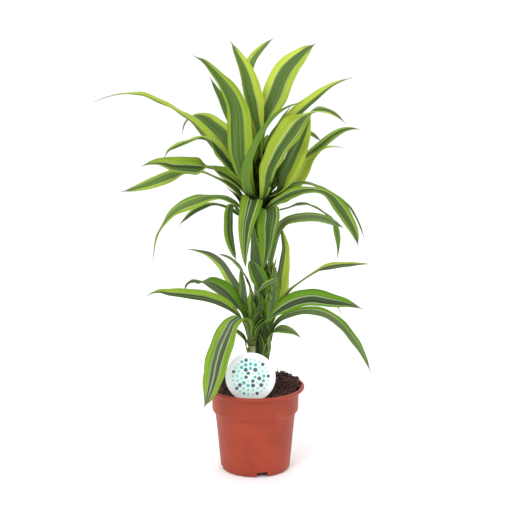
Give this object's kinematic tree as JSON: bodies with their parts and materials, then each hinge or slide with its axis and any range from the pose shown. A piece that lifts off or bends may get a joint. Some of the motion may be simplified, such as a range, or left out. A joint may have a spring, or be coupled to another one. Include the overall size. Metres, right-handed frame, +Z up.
{
  "type": "potted dracaena",
  "caption": "Potted dracaena: woody canes of different heights, each with a crown of arching striped strap leaves, in a round plastic grower's pot with a round stake label.",
  "frame": {"origin": "on the pot's axis, at the surface that the pot stands on", "axes": "+Z up along the pot's axis and the canes, +X to the right seen from the label's side, +Y to the back"},
  "size_m": [0.4784, 0.2767, 0.7387],
  "materials": {
    "pot": "satin terracotta-coloured plastic",
    "potting_mix": "rough bark and fibre",
    "label": "printed card, semi-gloss",
    "cane": "matt, with leaf scars",
    "upper_leaf": "satin, lime margins round a dark green middle",
    "middle_leaf": "satin, green with pale stripes",
    "lower_leaf": "satin, green with pale stripes"
  },
  "bodies": {
    "root": {"pot": "pot", "potting_mix": "potting_mix", "label": "label", "cane_tall": "cane", "cane_medium": "cane", "cane_short": "cane", "upper_leaf_01": "upper_leaf", "upper_leaf_02": "upper_leaf", "upper_leaf_03": "upper_leaf", "upper_leaf_04": "upper_leaf", "upper_leaf_05": "upper_leaf", "upper_leaf_06": "upper_leaf", "upper_leaf_07": "upper_leaf", "upper_leaf_08": "upper_leaf", "upper_leaf_09": "upper_leaf", "upper_leaf_10": "upper_leaf", "upper_leaf_11": "upper_leaf", "upper_leaf_12": "upper_leaf", "upper_leaf_13": "upper_leaf", "upper_leaf_14": "upper_leaf", "upper_leaf_15": "upper_leaf", "upper_leaf_16": "upper_leaf", "upper_leaf_17": "upper_leaf", "upper_leaf_18": "upper_leaf", "upper_leaf_19": "upper_leaf", "upper_leaf_20": "upper_leaf", "upper_leaf_21": "upper_leaf", "upper_leaf_22": "upper_leaf", "upper_leaf_23": "upper_leaf", "upper_leaf_24": "upper_leaf", "upper_leaf_25": "upper_leaf", "upper_leaf_26": "upper_leaf", "upper_leaf_27": "upper_leaf", "upper_leaf_28": "upper_leaf", "upper_leaf_29": "upper_leaf", "upper_leaf_30": "upper_leaf", "upper_leaf_31": "upper_leaf", "middle_leaf_01": "middle_leaf", "middle_leaf_02": "middle_leaf", "middle_leaf_03": "middle_leaf", "middle_leaf_04": "middle_leaf", "middle_leaf_05": "middle_leaf", "middle_leaf_06": "middle_leaf", "middle_leaf_07": "middle_leaf", "middle_leaf_08": "middle_leaf", "middle_leaf_09": "middle_leaf", "middle_leaf_10": "middle_leaf", "middle_leaf_11": "middle_leaf", "lower_leaf_01": "lower_leaf", "lower_leaf_02": "lower_leaf", "lower_leaf_03": "lower_leaf", "lower_leaf_04": "lower_leaf", "lower_leaf_05": "lower_leaf", "lower_leaf_06": "lower_leaf", "lower_leaf_07": "lower_leaf", "lower_leaf_08": "lower_leaf", "lower_leaf_09": "lower_leaf", "lower_leaf_10": "lower_leaf", "lower_leaf_11": "lower_leaf", "lower_leaf_12": "lower_leaf"}
  },
  "joints": []
}
